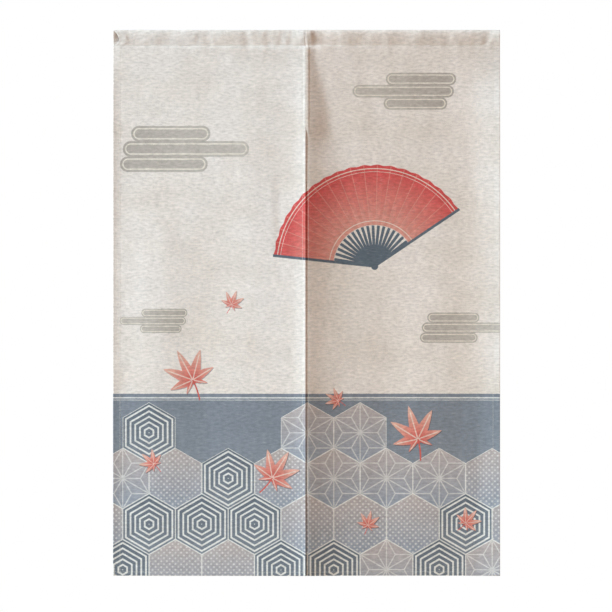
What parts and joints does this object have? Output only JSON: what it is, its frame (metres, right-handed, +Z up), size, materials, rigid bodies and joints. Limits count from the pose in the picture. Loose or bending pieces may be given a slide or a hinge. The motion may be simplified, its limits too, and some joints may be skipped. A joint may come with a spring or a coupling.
{
  "type": "noren curtain",
  "caption": "Noren doorway curtain of printed cotton and linen cloth, its panels sewn together at the top and slit below, with a rod pocket along the top edge.",
  "frame": {"origin": "middle of the top fold of the rod pocket, where the curtain hangs", "axes": "+Z up, +X along the top edge to the right as seen from the front, -Y out of the printed front"},
  "size_m": [0.85, 0.0224, 1.2],
  "materials": {
    "cloth_left": "plain-woven off-white cotton and linen, printed, matt",
    "cloth_right": "plain-woven off-white cotton and linen, printed, matt",
    "thread": "off-white sewing thread, matt"
  },
  "bodies": {
    "root": {"panel_left": "cloth_left", "panel_right": "cloth_right", "pocket_left": "cloth_left", "pocket_right": "cloth_right"}
  },
  "joints": []
}
